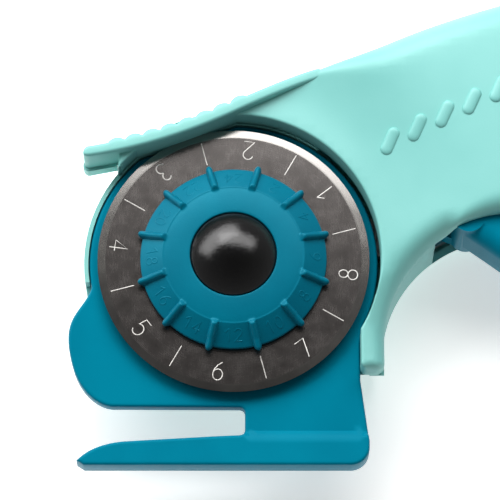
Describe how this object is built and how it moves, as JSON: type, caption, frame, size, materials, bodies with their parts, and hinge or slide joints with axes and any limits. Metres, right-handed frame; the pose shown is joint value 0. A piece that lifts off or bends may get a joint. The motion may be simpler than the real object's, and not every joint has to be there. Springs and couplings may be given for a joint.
{
  "type": "rotary cutter",
  "caption": "Hand-held rotary cutter: squeezing the trigger lowers the round blade across a slotted guard and foot; a ribbed knob indexes the blade.",
  "frame": {"origin": "on the blade's axis, on the flat back of the housing on which the tool lies", "axes": "+Z along the blade axis towards the knob, +X from the blade towards the handle's tail, +Y towards the thumb rest, so the foot's sole faces -Y"},
  "size_m": [0.1686, 0.0849, 0.022],
  "materials": {
    "housing_mint": "fine moulded texture, soft sheen",
    "plate_teal": "semi-gloss moulded",
    "knob_teal": "semi-gloss moulded",
    "button_black": "high gloss",
    "blade_steel": "ground tool steel, honed bevel",
    "turned_steel": "turned",
    "spring_steel": "drawn wire and rolled strip",
    "zinc_plate": "bright zinc plated",
    "hub_brass": "turned",
    "nylon_black": "moulded nylon",
    "nylon_white": "moulded nylon",
    "rubber_black": "moulded rubber"
  },
  "bodies": {
    "housing": {"back_shell": "housing_mint", "front_shell": "housing_mint", "guard_foot_plate": "plate_teal", "pivot_pin": "turned_steel", "pivot_washers": "nylon_white", "shell_screws": "zinc_plate", "plate_screws": "zinc_plate", "return_spring": "spring_steel"},
    "trigger_lever": {"trigger": "plate_teal", "drive_arm": "zinc_plate", "arm_rivets": "turned_steel", "stop_pad": "rubber_black"},
    "carriage": {"blade_carriage": "nylon_black", "blade_post": "turned_steel", "drive_pin": "turned_steel", "detent_spring": "spring_steel", "retaining_clip": "spring_steel"},
    "cutter_head": {"index_hub": "hub_brass", "detent_wheel": "hub_brass", "blade": "blade_steel", "pressure_washer": "spring_steel", "index_knob": "knob_teal", "button_spring": "spring_steel"},
    "button": {"release_button": "button_black"}
  },
  "joints": [
    {"name": "trigger_squeeze", "type": "hinge", "parent": "housing", "child": "trigger_lever", "pos_m": [0.0285, 0.006, 0], "axis": [0, 0, 1], "range_deg": [0, 16.96], "stiffness_Nm_per_rad": 0.35, "springref_deg": -17.19, "deforming": ["return_spring"]},
    {"name": "blade_drop", "type": "slide", "parent": "housing", "child": "carriage", "axis": [0, -1, 0], "range_m": [0, 0.0085]},
    {"name": "knob_index", "type": "hinge", "parent": "carriage", "child": "cutter_head", "pos_m": [0, 0, 0], "axis": [0, 0, 1], "continuous": true, "deforming": ["detent_spring"]},
    {"name": "button_press", "type": "slide", "parent": "cutter_head", "child": "button", "axis": [0, 0, -1], "range_m": [0, 0.001], "stiffness_N_per_m": 900, "springref_m": -0.002, "deforming": ["button_spring"]}
  ],
  "couplings": [
    {"joint": "blade_drop", "follows": "trigger_squeeze", "m_per_rad": 0.02871}
  ]
}
